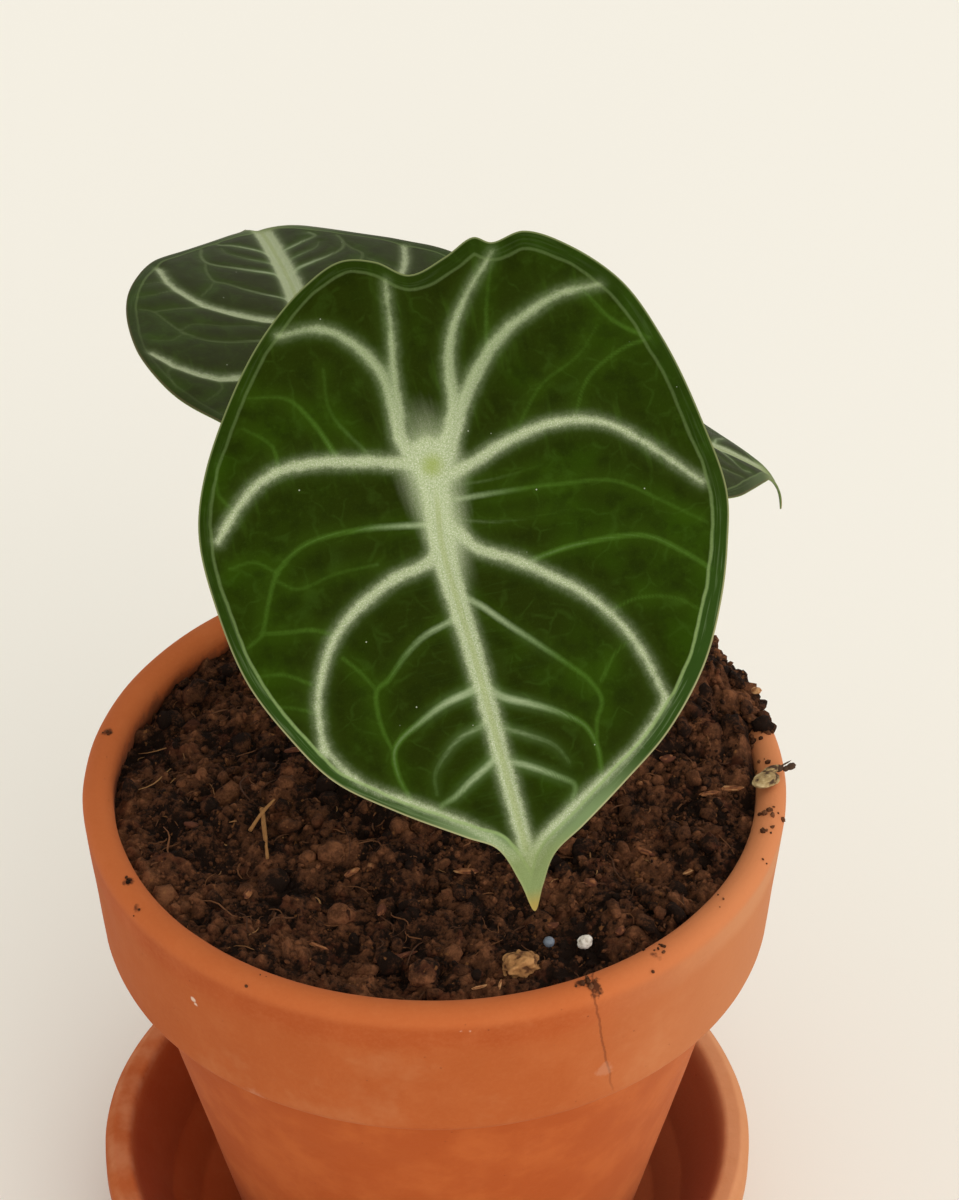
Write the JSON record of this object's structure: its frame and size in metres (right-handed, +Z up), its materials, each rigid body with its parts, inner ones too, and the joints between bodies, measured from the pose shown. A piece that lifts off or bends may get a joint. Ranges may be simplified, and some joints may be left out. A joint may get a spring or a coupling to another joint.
{
  "type": "potted ninja alocasia",
  "caption": "Small aroid house plant with dark shield-shaped leaves and pale sunk veins, in a tapered terracotta pot with a high collar on a matching saucer.",
  "frame": {"origin": "centre of the saucer's flat underside, on the surface it stands on", "axes": "+Z up; the picture looks along +Y from the front, with +X to its right"},
  "size_m": [0.1327, 0.1588, 0.24],
  "materials": {
    "saucer_clay": "matte",
    "pot_clay": "matte",
    "soil": "matte",
    "corm": "matte",
    "petiole": "satin",
    "blade": "satin",
    "bark": "matte",
    "perlite": "matte"
  },
  "bodies": {
    "root": {"saucer": "saucer_clay", "pot": "pot_clay", "soil": "soil", "corm": "corm", "petiole_front": "petiole", "petiole_back": "petiole", "petiole_right": "petiole", "blade_front": "blade", "blade_back": "blade", "blade_right": "blade", "bark_chunk": "bark", "soil_clod": "soil", "perlite_grain": "perlite", "twig": "bark", "rim_chip": "bark"}
  },
  "joints": []
}
